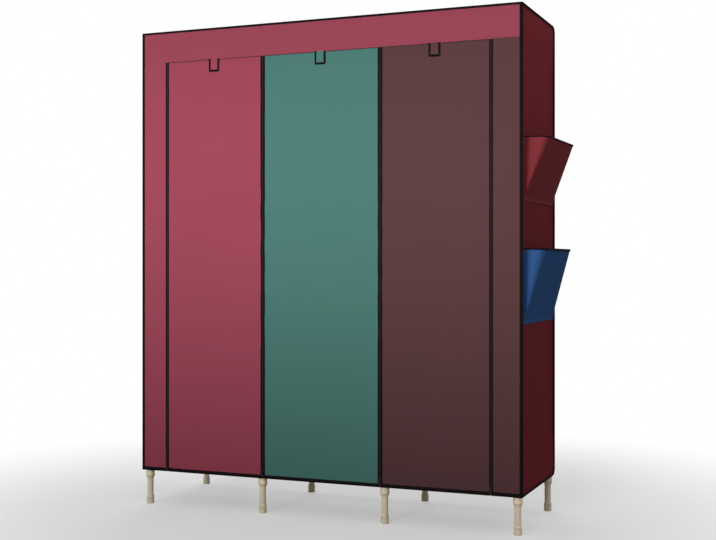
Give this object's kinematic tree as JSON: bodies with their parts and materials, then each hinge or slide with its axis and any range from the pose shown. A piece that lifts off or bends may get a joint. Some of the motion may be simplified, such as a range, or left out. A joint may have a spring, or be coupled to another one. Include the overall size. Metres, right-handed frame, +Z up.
{
  "type": "portable fabric wardrobe",
  "caption": "Tall free-standing wardrobe: a tube frame on legs in a taut cloth cover with zipped roll-up doors, tie straps and gaping side pockets.",
  "frame": {"origin": "on the floor, under the middle of the whole object's box, which the side pockets widen to the right", "axes": "+Z up, -Y out of the doors, +X to the right as the doors are faced"},
  "size_m": [1.4782, 0.4573, 1.7],
  "materials": {
    "beige_tube": "satin",
    "beige_moulding": "satin",
    "burgundy_cloth": "matte",
    "green_cloth": "matte",
    "wine_brown_cloth": "matte",
    "dark_burgundy_cloth": "matte",
    "red_pocket_cloth": "matte",
    "blue_pocket_cloth": "matte",
    "shelf_cloth": "matte",
    "black_binding": "matte",
    "zip_metal": "satin"
  },
  "bodies": {
    "root": {"post_front_left": "beige_tube", "foot_cap_front_left": "beige_moulding", "post_front_centre_left": "beige_tube", "foot_cap_front_centre_left": "beige_moulding", "post_front_centre_right": "beige_tube", "foot_cap_front_centre_right": "beige_moulding", "post_front_right": "beige_tube", "foot_cap_front_right": "beige_moulding", "base_rail_front": "beige_moulding", "top_rail_front": "beige_moulding", "post_back_left": "beige_tube", "foot_cap_back_left": "beige_moulding", "post_back_centre_left": "beige_tube", "foot_cap_back_centre_left": "beige_moulding", "post_back_centre_right": "beige_tube", "foot_cap_back_centre_right": "beige_moulding", "post_back_right": "beige_tube", "foot_cap_back_right": "beige_moulding", "base_rail_back": "beige_moulding", "top_rail_back": "beige_moulding", "base_cross_rail_left": "beige_tube", "top_cross_rail_left": "beige_tube", "base_cross_rail_centre_left": "beige_tube", "top_cross_rail_centre_left": "beige_tube", "base_cross_rail_centre_right": "beige_tube", "top_cross_rail_centre_right": "beige_tube", "base_cross_rail_right": "beige_tube", "top_cross_rail_right": "beige_tube", "hanging_rail_left": "beige_tube", "hanging_rail_right": "beige_tube", "base_shelf": "shelf_cloth", "lower_shelf": "shelf_cloth", "middle_shelf": "shelf_cloth", "upper_shelf": "shelf_cloth", "top_panel": "burgundy_cloth", "back_panel": "dark_burgundy_cloth", "left_side_panel": "dark_burgundy_cloth", "right_side_panel": "dark_burgundy_cloth", "header": "burgundy_cloth", "left_stile": "burgundy_cloth", "right_stile": "wine_brown_cloth", "upper_side_pocket": "red_pocket_cloth", "lower_side_pocket": "blue_pocket_cloth"},
    "left_door": {"left_door_panel": "burgundy_cloth", "left_door_hem": "black_binding"},
    "left_door_strap": {"left_door_strap": "burgundy_cloth"},
    "centre_door": {"centre_door_panel": "green_cloth", "centre_door_hem": "black_binding"},
    "centre_door_strap": {"centre_door_strap": "green_cloth"},
    "right_door": {"right_door_panel": "wine_brown_cloth", "right_door_hem": "black_binding"},
    "right_door_strap": {"right_door_strap": "wine_brown_cloth"},
    "left_zip_slider": {"left_zip_slider": "zip_metal"},
    "left_zip_pull": {"left_zip_pull": "zip_metal"},
    "centre_left_zip_slider": {"centre_left_zip_slider": "zip_metal"},
    "centre_left_zip_pull": {"centre_left_zip_pull": "zip_metal"},
    "centre_right_zip_slider": {"centre_right_zip_slider": "zip_metal"},
    "centre_right_zip_pull": {"centre_right_zip_pull": "zip_metal"},
    "right_zip_slider": {"right_zip_slider": "zip_metal"},
    "right_zip_pull": {"right_zip_pull": "zip_metal"}
  },
  "joints": [
    {"name": "left_door_roll", "type": "slide", "parent": "root", "child": "left_door", "axis": [0, 0, 1], "range_m": [0, 1.333], "deforming": ["left_door_panel"]},
    {"name": "left_door_strap_swing", "type": "hinge", "parent": "root", "child": "left_door_strap", "pos_m": [-0.44815, -0.2253, 1.5897], "axis": [-1, 0, 0], "range_deg": [0, 60]},
    {"name": "centre_door_roll", "type": "slide", "parent": "root", "child": "centre_door", "axis": [0, 0, 1], "range_m": [0, 1.333], "deforming": ["centre_door_panel"]},
    {"name": "centre_door_strap_swing", "type": "hinge", "parent": "root", "child": "centre_door_strap", "pos_m": [-0.03915, -0.2253, 1.5897], "axis": [-1, 0, 0], "range_deg": [0, 60]},
    {"name": "right_door_roll", "type": "slide", "parent": "root", "child": "right_door", "axis": [0, 0, 1], "range_m": [0, 1.333], "deforming": ["right_door_panel"]},
    {"name": "right_door_strap_swing", "type": "hinge", "parent": "root", "child": "right_door_strap", "pos_m": [0.36985, -0.2253, 1.5897], "axis": [-1, 0, 0], "range_deg": [0, 60]},
    {"name": "left_zip_slide", "type": "slide", "parent": "root", "child": "left_zip_slider", "axis": [0, 0, 1], "range_m": [0, 1.425]},
    {"name": "left_zip_pull_swing", "type": "hinge", "parent": "left_zip_slider", "child": "left_zip_pull", "pos_m": [-0.63915, -0.2301, 0.156], "axis": [-1, 0, 0], "range_deg": [0, 150]},
    {"name": "centre_left_zip_slide", "type": "slide", "parent": "root", "child": "centre_left_zip_slider", "axis": [0, 0, 1], "range_m": [0, 1.425]},
    {"name": "centre_left_zip_pull_swing", "type": "hinge", "parent": "centre_left_zip_slider", "child": "centre_left_zip_pull", "pos_m": [-0.25715, -0.2301, 0.156], "axis": [-1, 0, 0], "range_deg": [0, 150]},
    {"name": "centre_right_zip_slide", "type": "slide", "parent": "root", "child": "centre_right_zip_slider", "axis": [0, 0, 1], "range_m": [0, 1.425]},
    {"name": "centre_right_zip_pull_swing", "type": "hinge", "parent": "centre_right_zip_slider", "child": "centre_right_zip_pull", "pos_m": [0.17885, -0.2301, 0.156], "axis": [-1, 0, 0], "range_deg": [0, 150]},
    {"name": "right_zip_slide", "type": "slide", "parent": "root", "child": "right_zip_slider", "axis": [0, 0, 1], "range_m": [0, 1.425]},
    {"name": "right_zip_pull_swing", "type": "hinge", "parent": "right_zip_slider", "child": "right_zip_pull", "pos_m": [0.56085, -0.2301, 0.156], "axis": [-1, 0, 0], "range_deg": [0, 150]}
  ],
  "couplings": [
    {"joint": "left_door_strap_swing", "follows": "left_door_roll", "rad_per_m": 0.7855},
    {"joint": "centre_door_strap_swing", "follows": "centre_door_roll", "rad_per_m": 0.7855},
    {"joint": "right_door_strap_swing", "follows": "right_door_roll", "rad_per_m": 0.7855}
  ]
}
